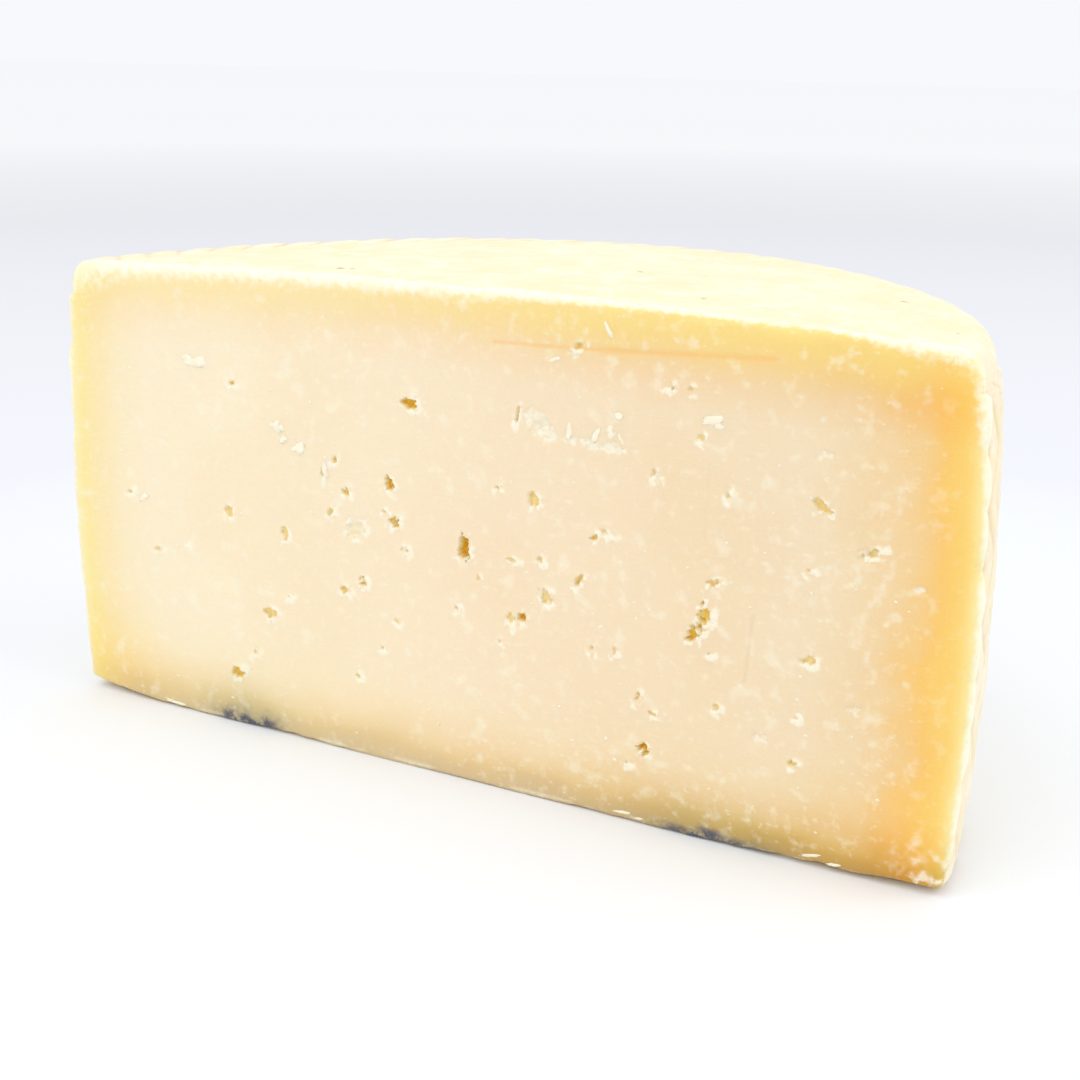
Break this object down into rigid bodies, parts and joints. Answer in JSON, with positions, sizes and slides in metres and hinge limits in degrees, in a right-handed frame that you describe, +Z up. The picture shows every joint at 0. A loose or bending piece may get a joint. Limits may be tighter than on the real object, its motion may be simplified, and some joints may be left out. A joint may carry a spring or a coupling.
{
  "type": "half wheel of manchego cheese",
  "caption": "Half a wheel of firm sheep's milk cheese, cut straight down through the middle, with small eyes in the cut and a herringbone print round its rind.",
  "frame": {"origin": "middle of the footprint, on the base", "axes": "+X along the cut face, the cut face looking towards -Y, +Z up"},
  "size_m": [0.2, 0.1002, 0.1005],
  "materials": {
    "cheese": "ivory paste that turns golden towards a pale yellow natural rind, satin"
  },
  "bodies": {
    "root": {"cheese": "cheese"}
  },
  "joints": []
}
